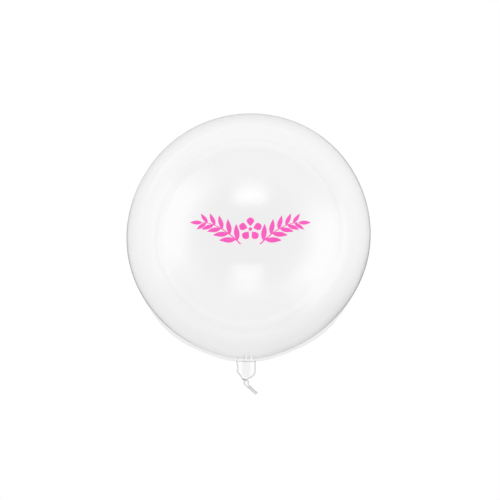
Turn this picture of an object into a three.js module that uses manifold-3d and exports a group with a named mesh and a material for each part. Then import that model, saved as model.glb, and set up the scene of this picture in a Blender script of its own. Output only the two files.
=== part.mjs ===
// Clear film balloon, 400 mm across, full of air and lying on its back.
//
// Units are millimetres. +Z is up, and the front of the balloon faces +Z. The filling neck points to -Y.
// The origin is the middle of the small flat spot that the balloon rests on.
//
// The balloon is two panels of clear film welded together round the rim. The rim's weld is in the level
// plane through the ball's centre, and the neck is drawn out of the same two panels, so all of it is one
// piece: the ball, the weld's thin fin, the flat neck, the pinch that closes it and the twisted free end.

import * as THREE from "three";
import { mergeVertices } from "three/addons/utils/BufferGeometryUtils.js";
import Module from "manifold-3d";

const wasm = await Module();
wasm.setup();

// The ball
const BALL_RADIUS = 200;
const REST_SPOT_RADIUS = 30;
const LEAN = 0.0192; // sideways shift for each millimetre along Y: the film has stretched a little unevenly
const SWELL = { 2: 0.0017, 3: -0.0023, 4: 0.0036, 5: -0.0024 }; // share of the radius, by waves round the rim
const TURN_STEPS = 96;
const RISE_STEPS = 17; // from the rest spot to the rim, and again from the rim to the top

// The weld's fin. Each row is an angle from the neck, in degrees, and the fin's width there.
const FIN_THICKNESS = 0.5;
const FIN_WIDTHS = [
  [0, 4.4],
  [14, 4.4],
  [22, 4.7],
  [30, 5.8],
  [37, 6.3],
  [44, 5],
  [49, 3.1],
  [54, 1.6],
  [62, 0.8],
  [180, 0.8],
];

// The neck. Each row is a distance from the ball along -Y, the left and right edges from the neck's axis, and
// the width and thickness of the flat panel in the middle.
const NECK_ROWS = [
  [-8, -16, 15, 14, 3.2],
  [5, -16, 15, 14, 3.2],
  [16.6, -13.8, 15, 14, 3.2],
  [21.5, -15.2, 15, 14, 3.2],
  [25, -13, 15, 13.6, 3.4],
  [28.1, -10.2, 14.2, 12, 3.8],
  [31, -7.6, 11.6, 9.6, 4.2],
  [34, -5.6, 6, 6.4, 4.6],
  [36.4, -5, 0.4, 3, 4.6],
  [38.4, -4.6, -0.4, 2, 3.6],
];
const NECK_EDGE_THICKNESS = 0.6;

// The pinch, where the gathered film is wound round itself
const PINCH_DISTANCE = 36.8;
const PINCH_SIDEWAYS = -2.4;
const PINCH_RADIUS = 3.9;
const PINCH_HALF_LENGTH = 1.9;

// The free end past the pinch, a flat ribbon of film that turns over once as it hangs to one side
const END_ROUTE = [
  [-2.6, 36, 0],
  [-2.2, 39.5, 0],
  [1.4, 44, -0.2],
  [6.6, 49.6, -0.8],
  [12.6, 55, -1.8],
  [18.2, 60.2, -3.2],
];
const END_WIDTHS = [4.4, 5.6, 7, 5.4, 6.2, 5];
const END_THICKNESS = 1.3;
const END_STEPS = 24;
const END_SIDES = 8;

const filmMaterial = new THREE.MeshStandardMaterial({
  name: "clear film",
  color: 0xeceef0,
  roughness: 0.08,
  metalness: 0,
  transparent: true,
  opacity: 0.3,
});

const restSpotDepth = BALL_RADIUS - Math.sqrt(BALL_RADIUS ** 2 - REST_SPOT_RADIUS ** 2);
const centreHeight = BALL_RADIUS - restSpotDepth;

// The ball's radius at an angle from +Y, in radians
function ballRadius(fromTop) {
  let share = 1;
  for (const [waves, amount] of Object.entries(SWELL)) share += amount * Math.cos(waves * fromTop);
  return BALL_RADIUS * share;
}

const ballEnd = -ballRadius(Math.PI);
const neckAxis = LEAN * ballEnd;

// One solid from a geometry, its vertices merged and the triangles that collapse at a pole left out
function toSolid(geometry) {
  geometry.deleteAttribute("normal");
  geometry.deleteAttribute("uv");
  const merged = mergeVertices(geometry, 1e-4);
  const corners = merged.index.array;
  const kept = [];
  for (let i = 0; i < corners.length; i += 3) {
    const [a, b, c] = [corners[i], corners[i + 1], corners[i + 2]];
    if (a !== b && b !== c && c !== a) kept.push(a, b, c);
  }
  const vertProperties = merged.attributes.position.array;
  return new wasm.Manifold(new wasm.Mesh({ numProp: 3, vertProperties, triVerts: new Uint32Array(kept) }));
}

// A geometry from a solid
function toGeometry(solid) {
  const mesh = solid.getMesh();
  const geometry = new THREE.BufferGeometry();
  geometry.setAttribute("position", new THREE.BufferAttribute(mesh.vertProperties, 3));
  geometry.setIndex(new THREE.BufferAttribute(mesh.triVerts, 1));
  geometry.computeVertexNormals();
  return geometry;
}

// A closed skin over a row of rings that all have the same number of points, with a flat cap on each end.
// Each ring runs anticlockwise as seen from the next one.
function loft(rings) {
  const sides = rings[0].length;
  const points = rings.flat();
  const faces = [];
  for (let ring = 0; ring + 1 < rings.length; ring++) {
    for (let side = 0; side < sides; side++) {
      const a = ring * sides + side;
      const b = ring * sides + ((side + 1) % sides);
      faces.push(a, b, b + sides, a, b + sides, a + sides);
    }
  }
  const last = (rings.length - 1) * sides;
  for (let side = 1; side + 1 < sides; side++) {
    faces.push(0, side + 1, side);
    faces.push(last, last + side, last + side + 1);
  }
  const geometry = new THREE.BufferGeometry().setFromPoints(points);
  geometry.setIndex(faces);
  return geometry;
}

// The fin's width at an angle from +Y, in radians
function finWidth(fromTop) {
  const fromNeck = Math.abs(THREE.MathUtils.radToDeg(fromTop) - 180);
  const next = FIN_WIDTHS.findIndex(([angle]) => angle >= fromNeck);
  if (next === 0) return FIN_WIDTHS[0][1];
  const [[angle, width], [nextAngle, nextWidth]] = [FIN_WIDTHS[next - 1], FIN_WIDTHS[next]];
  return THREE.MathUtils.mapLinear(fromNeck, angle, nextAngle, width, nextWidth);
}

// A level ring of the ball's skin. The rise is the angle from the ball's lowest point, in radians.
function ballRing(rise) {
  const ring = [];
  for (let step = 0; step < TURN_STEPS; step++) {
    const turn = (2 * Math.PI * step) / TURN_STEPS;
    const point = new THREE.Vector3().setFromSphericalCoords(BALL_RADIUS, Math.PI - rise, 0);
    point.set(point.z * Math.cos(turn), point.z * Math.sin(turn), point.y);
    const fromTop = point.angleTo(new THREE.Vector3(0, 1, 0));
    point.multiplyScalar(ballRadius(fromTop) / BALL_RADIUS);
    point.x += LEAN * point.y;
    ring.push(point);
  }
  return ring;
}

// The free edge of the weld's fin, right round the rim
function finRing(height) {
  const ring = [];
  for (let step = 0; step < TURN_STEPS; step++) {
    const fromTop = Math.PI / 2 - (2 * Math.PI * step) / TURN_STEPS;
    const around = THREE.MathUtils.euclideanModulo(fromTop, 2 * Math.PI);
    const away = ballRadius(around) + finWidth(around);
    const y = away * Math.cos(around);
    ring.push(new THREE.Vector3(away * Math.sin(around) + LEAN * y, y, height));
  }
  return ring;
}

// Evenly spread rings of the ball's skin between two angles of rise, both included
function ballRings(first, last, steps) {
  const rings = [];
  for (let step = 0; step <= steps; step++) rings.push(ballRing(THREE.MathUtils.lerp(first, last, step / steps)));
  return rings;
}

// The blown-up ball, flat where it rests, with the weld's thin fin round the rim
function ball() {
  const restRise = Math.asin(REST_SPOT_RADIUS / BALL_RADIUS);
  const finRise = Math.asin(FIN_THICKNESS / 2 / BALL_RADIUS);
  const lower = ballRings(restRise, Math.PI / 2 - finRise, RISE_STEPS);
  for (const point of lower[0]) point.z = -centreHeight;
  const upper = ballRings(Math.PI / 2 + finRise, Math.PI, RISE_STEPS);
  const edge = [finRing(-FIN_THICKNESS / 2), finRing(FIN_THICKNESS / 2)];
  return toSolid(loft([...lower, ...edge, ...upper]));
}

// A point by its distance across from the neck's axis, its distance from the ball and its height
function neckPoint(across, distance, height) {
  return new THREE.Vector3(neckAxis + across, ballEnd - distance, height);
}

// The flat neck: thin welded edges with a thicker flat panel between them, gathered at its far end
function neck() {
  const rings = NECK_ROWS.map(([distance, left, right, panelWidth, panelThickness]) => {
    const middle = (left + right) / 2;
    const across = [left, middle - panelWidth / 2, middle + panelWidth / 2, right];
    const height = [NECK_EDGE_THICKNESS, panelThickness, panelThickness, NECK_EDGE_THICKNESS];
    const front = across.map((x, i) => neckPoint(x, distance, height[i] / 2)).reverse();
    const back = across.map((x, i) => neckPoint(x, distance, -height[i] / 2));
    return [...front, ...back];
  });
  return toSolid(loft(rings));
}

// The gathered film wound round itself
function pinch() {
  const geometry = new THREE.SphereGeometry(PINCH_RADIUS, 16, 8);
  geometry.scale(1, PINCH_HALF_LENGTH / PINCH_RADIUS, 1);
  geometry.rotateZ(-0.3);
  const centre = neckPoint(PINCH_SIDEWAYS, PINCH_DISTANCE, 0);
  geometry.translate(centre.x, centre.y, centre.z);
  return toSolid(geometry);
}

// The twisted free end
function freeEnd() {
  const route = new THREE.CatmullRomCurve3(END_ROUTE.map((place) => neckPoint(...place)));
  const widths = new THREE.SplineCurve(END_WIDTHS.map((width, i) => new THREE.Vector2(i, width)));
  const rings = [];
  for (let step = 0; step <= END_STEPS; step++) {
    const along = step / END_STEPS;
    const centre = route.getPointAt(along);
    const tangent = route.getTangentAt(along);
    const twist = Math.PI * THREE.MathUtils.clamp((along - 0.22) / 0.6, 0, 1);
    const across = new THREE.Vector3(0, 0, 1).cross(tangent).normalize().applyAxisAngle(tangent, twist);
    const up = new THREE.Vector3().crossVectors(tangent, across);
    const width = widths.getPoint(along).y;
    const ring = [];
    for (let side = 0; side < END_SIDES; side++) {
      const turn = (2 * Math.PI * (side + 0.5)) / END_SIDES;
      const point = centre.clone().addScaledVector(across, (width / 2) * Math.cos(turn));
      ring.push(point.addScaledVector(up, (END_THICKNESS / 2) * Math.sin(turn)));
    }
    rings.push(ring);
  }
  return toSolid(loft(rings));
}

function envelope() {
  const solid = ball().add(neck()).add(pinch()).add(freeEnd());
  const mesh = new THREE.Mesh(toGeometry(solid), filmMaterial);
  mesh.name = "envelope";
  return mesh;
}

const balloon = new THREE.Group();
balloon.add(envelope());
balloon.position.z = centreHeight;

export default balloon;
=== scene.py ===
"""A clear film balloon, 400 mm across, lying on its back on a pale floor.

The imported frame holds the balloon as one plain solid. Here the real film takes its place: the thin ball
with puckers along its weld, the weld's fin, the flat neck with its valve strip, the gathered pinch, the
twisted free end, and a cut-vinyl ornament on the front.

Everything is in metres. +Z is up and is the balloon's front. The neck points to -Y.
"""

from __future__ import annotations

import logging
import math
from collections.abc import Callable, Sequence
from dataclasses import dataclass, field
from enum import Enum

import bmesh
import bpy
from mathutils import Matrix, Vector

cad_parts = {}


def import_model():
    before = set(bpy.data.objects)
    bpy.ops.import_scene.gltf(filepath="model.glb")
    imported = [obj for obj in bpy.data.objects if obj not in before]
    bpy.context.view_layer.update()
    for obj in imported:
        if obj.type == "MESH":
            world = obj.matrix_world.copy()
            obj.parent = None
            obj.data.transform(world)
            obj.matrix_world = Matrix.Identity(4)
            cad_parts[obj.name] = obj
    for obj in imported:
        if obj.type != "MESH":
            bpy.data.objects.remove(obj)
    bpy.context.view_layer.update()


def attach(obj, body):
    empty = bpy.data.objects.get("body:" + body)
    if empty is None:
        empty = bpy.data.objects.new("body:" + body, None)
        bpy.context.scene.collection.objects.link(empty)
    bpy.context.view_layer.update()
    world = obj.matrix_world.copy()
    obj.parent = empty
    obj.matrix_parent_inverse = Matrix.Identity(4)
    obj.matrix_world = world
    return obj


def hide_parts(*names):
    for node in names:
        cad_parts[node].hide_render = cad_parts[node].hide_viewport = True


log = logging.getLogger("balloon")

BODY = "root"
ENVELOPE = "envelope"

Rows = tuple[tuple[float, ...], ...]


class RecordSlot(Enum):
    """The record's material slots."""

    FILM = "clear_film"
    VINYL = "pink_vinyl"


class Side(Enum):
    """The two sides, as the front is seen. The value points outwards along X."""

    LEFT = -1
    RIGHT = 1

    @property
    def label(self) -> str:
        """The side's name, as pieces end with it."""
        return self.name.lower()


class Way(Enum):
    """The ways that a direction is measured along."""

    RIGHT = (1.0, 0.0, 0.0)
    AWAY_FROM_NECK = (0.0, 1.0, 0.0)
    UP = (0.0, 0.0, 1.0)
    UPPER_LEFT = (-0.34, 0.94, 0.0)
    RIGHT_EDGE = (0.985, 0.170, 0.0)
    LEFT_EDGE = (-0.940, -0.340, 0.0)
    LOW_RIGHT = (0.693, -0.368, -0.620)
    NEAR_RIGHT = (0.480, -0.760, -0.438)


class Part(Enum):
    """The parts of a mesh that edit mode selects, under Blender's names for them."""

    VERTS = "VERT"
    EDGES = "EDGE"
    FACES = "FACE"


# The form that every piece follows


def ease(value: float, low: float, high: float) -> float:
    """Rises smoothly from 0 at low to 1 at high."""
    part = max(0.0, min(1.0, (value - low) / (high - low)))
    return part * part * (3 - 2 * part)


def between(rows: Rows, where: float, smooth: bool = False) -> tuple[float, ...]:
    """Reads a table of rows at a place between them.

    Args:
        rows: Rows that start with a place, in rising order.
        where: The place to read at.
        smooth: Whether the values ease from row to row, and don't run straight.

    Returns:
        The other columns there.
    """
    if where <= rows[0][0]:
        return tuple(rows[0][1:])
    for low, high in zip(rows, rows[1:]):
        if where <= high[0]:
            part = (where - low[0]) / (high[0] - low[0])
            part = ease(part, 0.0, 1.0) if smooth else part
            return tuple(a + (b - a) * part for a, b in zip(low[1:], high[1:]))
    return tuple(rows[-1][1:])


def rounded_off(share: float, power: int) -> float:
    """Gives a bead's radius over its full one, rounded off to a blunt end where the share is 1 or -1."""
    return math.sqrt(max(0.1, 1 - share**power))


@dataclass(frozen=True)
class BalloonForm:
    """The balloon's measured form, as in the part's source but for the film drawn out beside the neck.

    Attributes:
        radius: The ball's radius.
        rest_radius: The radius of the flat spot that the ball rests on.
        lean: The sideways shift for each metre along Y.
        swell: Numbers of waves round the rim, each with its share of the radius.
        fin_rows: Angles from the neck in degrees, and the weld fin's width there.
        neck_gap: The angles from the neck between which the fin ends beside it.
        neck_rows: Distances from the ball along -Y, with the neck's left and right edges from its axis.
        corner_reach: How far along the neck its corners are rounded, each way.
        corner_reads: How many places are averaged for that, each way.
        neck_draw: How far the film is drawn out beside the neck, past the round ball.
        draw_angles: The angles from the neck between which that ends.
        draw_heights: The heights above and below the weld between which it ends.
    """

    radius: float = 0.200
    rest_radius: float = 0.030
    lean: float = 0.0192
    swell: Rows = ((2, 0.0017), (3, -0.0023), (4, 0.0036), (5, -0.0024))
    fin_rows: Rows = (
        (0, 0.0044),
        (14, 0.0044),
        (22, 0.0047),
        (30, 0.0058),
        (37, 0.0063),
        (44, 0.0050),
        (49, 0.0031),
        (54, 0.0016),
        (62, 0.0008),
        (180, 0.0008),
    )
    neck_gap: tuple[float, float] = (3.0, 3.9)
    neck_rows: Rows = (
        (-0.0080, -0.0160, 0.0150),
        (0.0050, -0.0160, 0.0150),
        (0.0166, -0.0138, 0.0150),
        (0.0215, -0.0157, 0.0150),
        (0.0250, -0.0130, 0.0144),
        (0.0281, -0.0104, 0.0129),
        (0.0298, -0.0090, 0.0110),
        (0.0330, -0.0068, 0.0054),
        (0.0350, -0.0058, 0.0002),
        (0.0366, -0.0050, -0.0016),
    )
    corner_reach: float = 0.0026
    corner_reads: int = 3
    neck_draw: float = 0.0012
    draw_angles: tuple[float, float] = (7, 16)
    draw_heights: tuple[float, float] = (0.010, 0.090)

    @property
    def centre_height(self) -> float:
        """The height of the ball's centre, and of the weld, above the floor."""
        return math.sqrt(self.radius**2 - self.rest_radius**2)

    @property
    def ball_end(self) -> float:
        """Y where the ball ends and the neck starts."""
        return -self.radius * self.share(math.pi)

    @property
    def neck_axis(self) -> float:
        """X of the neck's axis."""
        return self.lean * self.ball_end

    @staticmethod
    def from_neck(around: float) -> float:
        """Gives the angle from the neck in degrees, for one from +Y in radians."""
        return abs(abs(math.degrees(around)) - 180)

    def share(self, from_top: float) -> float:
        """Gives the ball's radius over its mean radius, at an angle from +Y in radians."""
        return 1 + sum(amount * math.cos(waves * from_top) for waves, amount in self.swell)

    def formed(self, point: Vector) -> Vector:
        """Moves a point of a round ball to the balloon's form, both from the ball's centre.

        Args:
            point: The point of the round ball.

        Returns:
            The point of the balloon.
        """
        from_top = point.angle(Vector((0, 1, 0)), 0.0)
        moved = point * self.share(from_top)
        moved.x += self.lean * moved.y
        return moved

    def fin_width(self, from_neck: float) -> float:
        """Gives the weld fin's width at an angle from the neck in degrees."""
        return between(self.fin_rows, from_neck, smooth=True)[0] * ease(from_neck, *self.neck_gap)

    def drawn_out(self, from_neck: float, height: float = 0.0) -> float:
        """Gives how far the film is drawn out beside the neck.

        Args:
            from_neck: The angle from the neck in degrees.
            height: The height above the weld, or below it where negative.

        Returns:
            The distance from the round ball, outwards.
        """
        beside = 1 - ease(from_neck, *self.draw_angles)
        return self.neck_draw * beside * (1 - ease(abs(height), *self.draw_heights))

    def neck_edges(self, distance: float) -> tuple[float, float]:
        """Gives X of the neck's left and right edges at a distance from the ball, with rounded corners.

        Args:
            distance: The distance from the ball.

        Returns:
            X of the left edge, and of the right.
        """
        step = self.corner_reach / self.corner_reads
        reads = range(-self.corner_reads, self.corner_reads + 1)
        near = [between(self.neck_rows, distance + step * read) for read in reads]
        left, right = (sum(row[column] for row in near) / len(near) for column in (0, 1))
        return self.neck_axis + left, self.neck_axis + right

    def by_neck(self, sideways: float, distance: float, height: float = 0.0) -> Vector:
        """Gives the point at a place beside the neck's axis, a distance from the ball and a height."""
        return Vector((self.neck_axis + sideways, self.ball_end - distance, self.centre_height + height))

    def on_front(self, x: float, y: float, proud: float) -> Vector:
        """Gives the point above a place on the front.

        Args:
            x: The place's X.
            y: The place's Y.
            proud: How far the point stands out from the skin.

        Returns:
            The point, with Z above the floor.
        """
        upright = x - self.lean * y
        # The radius depends on the angle and the angle on the radius, so they settle in a few rounds.
        away = self.radius
        for _ in range(3):
            away = self.radius * self.share(math.acos(max(-1.0, min(1.0, y / away))))
        away += proud
        height = math.sqrt(max(0.0, away**2 - upright**2 - y**2))
        return Vector((x, y, self.centre_height + height))


@dataclass(frozen=True)
class Waves:
    """An uneven wave round the rim: main waves, with finer and fainter ones over them.

    Attributes:
        main: Main waves in a turn.
        fine: Finer waves in a turn.
        fine_start: Where the finer ones start, in radians.
        wander: How far the main ones stray to and fro, in radians.
        wander_turns: How often they stray in a turn.
        fine_height: The height of the finer waves, beside main waves 1 high.
    """

    main: int
    fine: int
    fine_start: float
    wander: float = 0.0
    wander_turns: int = 7
    fine_height: float = 0.6

    def at(self, around: float) -> float:
        """Gives the wave's height at an angle in radians."""
        strayed = self.main * around + self.wander * math.sin(self.wander_turns * around)
        return math.sin(strayed) + self.fine_height * math.sin(self.fine * around + self.fine_start)


# The bench: small steps that every piece is made with


class Bench:
    """Steps done with Blender's own operators."""

    @staticmethod
    def clear() -> None:
        """Leaves edit mode and selects nothing."""
        if bpy.context.object is not None and bpy.context.object.mode != "OBJECT":
            bpy.ops.object.mode_set(mode="OBJECT")
        bpy.ops.object.select_all(action="DESELECT")

    @staticmethod
    def only(piece: bpy.types.Object) -> None:
        """Selects one piece and nothing else, and makes it the active one.

        Args:
            piece: The piece to select.
        """
        Bench.clear()
        bpy.context.view_layer.objects.active = piece
        piece.select_set(True)

    @staticmethod
    def named(name: str) -> bpy.types.Object:
        """Names the new object, and its mesh.

        Args:
            name: The name.

        Returns:
            The new object.
        """
        piece = bpy.context.object
        piece.name = piece.data.name = name
        return piece

    @staticmethod
    def edit(piece: bpy.types.Object, part: Part = Part.VERTS) -> None:
        """Opens a piece in edit mode with nothing selected.

        Args:
            piece: The piece to open.
            part: What edit mode selects.
        """
        Bench.only(piece)
        bpy.ops.object.mode_set(mode="EDIT")
        bpy.ops.mesh.select_mode(type=part.value)
        bpy.ops.mesh.select_all(action="DESELECT")

    @staticmethod
    def pick(piece: bpy.types.Object, part: Part, test: Callable[[bmesh.types.BMElem], bool]) -> None:
        """Selects the parts of the mesh being edited that pass a test, and nothing else.

        Args:
            piece: The piece being edited.
            part: What is selected.
            test: Says whether one of them is.
        """
        bpy.ops.mesh.select_mode(type=part.value)
        bpy.ops.mesh.select_all(action="DESELECT")
        mesh = bmesh.from_edit_mesh(piece.data)
        for one in getattr(mesh, part.name.lower()):
            if test(one):
                one.select_set(True)
        bmesh.update_edit_mesh(piece.data)

    @staticmethod
    def move(piece: bpy.types.Object, place: Callable[[Vector], Vector]) -> None:
        """Puts each vertex of a piece at the place that a rule gives for it.

        Args:
            piece: The piece.
            place: Gives a vertex's new place for its old one.
        """
        Bench.clear()
        for vertex in piece.data.vertices:
            vertex.co = place(vertex.co.copy())
        piece.data.update()

    @staticmethod
    def tidy_skin(piece: bpy.types.Object, near: float = 1e-6) -> None:
        """Merges vertices that are near each other and turns every face outwards.

        Args:
            piece: The piece.
            near: The distance within which vertices merge.
        """
        Bench.edit(piece)
        bpy.ops.mesh.select_all(action="SELECT")
        bpy.ops.mesh.remove_doubles(threshold=near)
        bpy.ops.mesh.normals_make_consistent(inside=False)
        Bench.clear()

    @staticmethod
    def wall(piece: bpy.types.Object, thickness: float) -> None:
        """Gives a sheet its thickness, half to each side.

        Args:
            piece: The sheet.
            thickness: Its thickness.
        """
        Bench.only(piece)
        modifier = piece.modifiers.new("wall", "SOLIDIFY")
        modifier.thickness = thickness
        modifier.offset = 0.0
        bpy.ops.object.modifier_apply(modifier=modifier.name)

    @staticmethod
    def done(piece: bpy.types.Object, smooth: float | None = 60) -> bpy.types.Object:
        """Smooths the shading of a piece, up to an angle in degrees or all over, and leaves it.

        Args:
            piece: The piece.
            smooth: The angle up to which it is smooth, or None for all over.

        Returns:
            The same piece.
        """
        Bench.only(piece)
        if smooth is None:
            bpy.ops.object.shade_smooth()
        else:
            bpy.ops.object.shade_smooth_by_angle(angle=math.radians(smooth))
        Bench.clear()
        return piece

    @staticmethod
    def sheet(name: str, faces: tuple[int, int], place: Callable[[Vector], Vector]) -> bpy.types.Object:
        """Makes a sheet from a unit grid.

        Args:
            name: The piece's name.
            faces: Faces along the grid's X and Y.
            place: Gives the place of each of the grid's vertices.

        Returns:
            The sheet, with no thickness yet.
        """
        Bench.clear()
        across, along = faces
        bpy.ops.mesh.primitive_grid_add(
            x_subdivisions=across, y_subdivisions=along, size=1, location=(0, 0, 0)
        )
        piece = Bench.named(name)
        Bench.move(piece, place)
        return piece

    @staticmethod
    def tube(name: str, stations: Sequence[tuple[Vector, float]], sides: int = 4) -> bpy.types.Object:
        """Makes a closed round bead along a route.

        Args:
            name: The piece's name.
            stations: The route's points, each with the bead's radius there.
            sides: The bevel's resolution: the bead has two faces more than this in each half turn.

        Returns:
            The bead as a mesh.
        """
        Bench.clear()
        curve = bpy.data.curves.new(name, "CURVE")
        curve.dimensions = "3D"
        curve.bevel_depth = 1.0
        curve.bevel_resolution = sides
        curve.use_fill_caps = True
        spline = curve.splines.new("POLY")
        spline.points.add(len(stations) - 1)
        for spot, (point, width) in zip(spline.points, stations):
            spot.co = (*point, 1.0)
            spot.radius = width
        piece = bpy.data.objects.new(name, curve)
        bpy.context.collection.objects.link(piece)
        bpy.context.view_layer.objects.active = piece
        piece.select_set(True)
        bpy.ops.object.convert(target="MESH")
        piece = Bench.named(name)
        Bench.tidy_skin(piece)
        return Bench.done(piece)

    @staticmethod
    def joined(name: str, parts: Sequence[bpy.types.Object]) -> bpy.types.Object:
        """Joins pieces into one, under a name.

        Args:
            name: The new piece's name.
            parts: The pieces to join.

        Returns:
            The joined piece.
        """
        Bench.clear()
        for part in parts:
            part.select_set(True)
        bpy.context.view_layer.objects.active = parts[0]
        bpy.ops.object.join()
        return Bench.named(name)


# The finishes


class NodeSheet:
    """A node tree with short ways to add what the finishes and the studio need."""

    def __init__(self, tree: bpy.types.NodeTree) -> None:
        """Starts from an empty tree."""
        self.tree = tree
        tree.nodes.clear()

    @classmethod
    def of_material(cls, name: str) -> tuple[bpy.types.Material, NodeSheet]:
        """Makes a material, and gives it with its empty tree.

        Args:
            name: The material's name.

        Returns:
            The material, and its empty tree.
        """
        material = bpy.data.materials.new(name)
        material.use_nodes = True
        return material, cls(material.node_tree)

    def node(self, kind: str, **settings: object) -> bpy.types.Node:
        """Adds a node. Settings that start with in_ go to the input of that name, as values or sockets.

        Args:
            kind: The node's type.
            **settings: Its settings, and its inputs by name or number.

        Returns:
            The node.
        """
        made = self.tree.nodes.new(kind)
        for key, value in settings.items():
            if not key.startswith("in_"):
                setattr(made, key, value)
        for key, value in settings.items():
            if key.startswith("in_"):
                name = key[3:]
                slot = made.inputs[int(name)] if name.isdigit() else made.inputs[name.replace("_", " ")]
                self.feed(slot, value)
        return made

    def feed(self, slot: bpy.types.NodeSocket, value: object) -> None:
        """Sets an input to a value, or links it to a socket.

        Args:
            slot: The input.
            value: The value or socket.
        """
        if isinstance(value, bpy.types.NodeSocket):
            self.tree.links.new(value, slot)
        else:
            slot.default_value = value

    def place(self) -> bpy.types.NodeSocket:
        """Gives the place on the piece, in its own coordinates."""
        return self.node("ShaderNodeTexCoord").outputs["Object"]

    def noise(self, scale: float, detail: float, **settings: object) -> bpy.types.NodeSocket:
        """Gives noise over the piece, at so many lumps to the metre."""
        settings |= {"in_Vector": self.place(), "in_Scale": scale, "in_Detail": detail}
        return self.node("ShaderNodeTexNoise", **settings).outputs[0]

    def worked(self, operation: str, first: object, second: object) -> bpy.types.NodeSocket:
        """Gives what a Math operation makes of two values or sockets."""
        return self.node("ShaderNodeMath", operation=operation, in_0=first, in_1=second).outputs[0]

    def sum(self, first: object, second: object) -> bpy.types.NodeSocket:
        """Adds two values or sockets."""
        return self.worked("ADD", first, second)

    def product(self, first: object, second: object) -> bpy.types.NodeSocket:
        """Multiplies two values or sockets."""
        return self.worked("MULTIPLY", first, second)

    def blend(self, share: object, first: object, second: object) -> bpy.types.NodeSocket:
        """Gives the first value where the share is 0, and the second where it is 1."""
        return self.node("ShaderNodeMix", data_type="FLOAT", in_0=share, in_2=first, in_3=second).outputs[0]

    def ramp(
        self, value: object, start: float, end: float, low: float = 0.0, high: float = 1.0
    ) -> bpy.types.NodeSocket:
        """Goes smoothly from low, where the value is at the start, to high, where it is at the end.

        Args:
            value: The value or socket that it follows.
            start: Where it starts to change.
            end: Where it has changed.
            low: What it gives up to the start.
            high: What it gives from the end on.

        Returns:
            The changing value.
        """
        node = self.node(
            "ShaderNodeMapRange",
            interpolation_type="SMOOTHSTEP",
            in_Value=value,
            in_From_Min=start,
            in_From_Max=end,
            in_To_Min=low,
            in_To_Max=high,
        )
        return node.outputs["Result"]


@dataclass(frozen=True)
class FilmFinish:
    """Clear film, too thin to bend what is seen through it, with a gloss on its skin.

    Attributes:
        name: The material's name.
        tint: The share of the light that it lets pass at each skin, the same for all colours.
        clear: The share that is clear. The rest is matt white, which paints a highlight wherever it is used.
        gloss: The weight of the gloss.
        gloss_index: The skin's index, set so that it sends back what the film's two faces do together.
        gloss_roughness: The skin's roughness.
        ripple_size: How many ripples fit in a metre.
        ripple_depth: How deep the ripples are.
        fine_ripples: How many fine ripples go across a broad one.
        fine_height: How high the fine ones are, beside the broad ones.
    """

    name: str
    tint: float = 0.987
    clear: float = 1.0
    gloss: float = 1.0
    gloss_index: float = 1.77
    gloss_roughness: float = 0.03
    ripple_size: float = 28.0
    ripple_depth: float = 0.0005
    fine_ripples: float = 14.0
    fine_height: float = 0.04

    def make(self) -> bpy.types.Material:
        """Makes the material.

        Returns:
            The material.
        """
        material, sheet = NodeSheet.of_material(self.name)
        broad = sheet.noise(self.ripple_size, 2.0, in_Roughness=0.45, in_Distortion=0.4)
        fine = sheet.noise(self.ripple_size * self.fine_ripples, 1.0)
        waves = sheet.sum(broad, sheet.product(fine, self.fine_height))
        bump = sheet.node("ShaderNodeBump", in_Strength=1.0, in_Distance=self.ripple_depth, in_Height=waves)
        skin = sheet.node(
            "ShaderNodeBsdfPrincipled",
            in_Base_Color=(self.tint, self.tint, self.tint, 1),
            in_Roughness=0.0,
            in_IOR=1.0,
            in_Transmission_Weight=self.clear,
            in_Coat_Weight=self.gloss,
            in_Coat_Roughness=self.gloss_roughness,
            in_Coat_IOR=self.gloss_index,
            in_Coat_Normal=bump.outputs[0],
        )
        sheet.node("ShaderNodeOutputMaterial", in_Surface=skin.outputs[0])
        return material


@dataclass(frozen=True)
class VinylFinish:
    """Glossy coloured vinyl with a faint unevenness.

    Attributes:
        name: The material's name.
        colour: The vinyl's colour.
        deep: The slightly deeper colour that it varies to.
        clouds: How many patches of the deeper colour fit in a metre.
        cloud_range: The noise between which one colour goes over to the other.
        grains: How many grains fit in a metre.
        grain_range: The noise between which it goes from the smoothest grain to the dullest.
        grain_depth: How deep the grain is.
        roughness: The roughness, from the smoothest to the dullest grain.
    """

    name: str
    colour: tuple[float, float, float]
    deep: tuple[float, float, float]
    clouds: float = 55.0
    cloud_range: tuple[float, float] = (0.35, 0.7)
    grains: float = 900.0
    grain_range: tuple[float, float] = (0.2, 0.8)
    grain_depth: float = 0.00008
    roughness: tuple[float, float] = (0.28, 0.42)

    def make(self) -> bpy.types.Material:
        """Makes the material.

        Returns:
            The material.
        """
        material, sheet = NodeSheet.of_material(self.name)
        share = sheet.ramp(sheet.noise(self.clouds, 3.0), *self.cloud_range)
        colour = sheet.node(
            "ShaderNodeMix", data_type="RGBA", in_0=share, in_6=(*self.colour, 1), in_7=(*self.deep, 1)
        )
        grain = sheet.noise(self.grains, 2.0)
        bump = sheet.node("ShaderNodeBump", in_Strength=0.25, in_Distance=self.grain_depth, in_Height=grain)
        skin = sheet.node(
            "ShaderNodeBsdfPrincipled",
            in_Base_Color=colour.outputs[2],
            in_Roughness=sheet.ramp(grain, *self.grain_range, *self.roughness),
            in_IOR=1.45,
            in_Normal=bump.outputs[0],
        )
        sheet.node("ShaderNodeOutputMaterial", in_Surface=skin.outputs[0])
        return material


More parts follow.
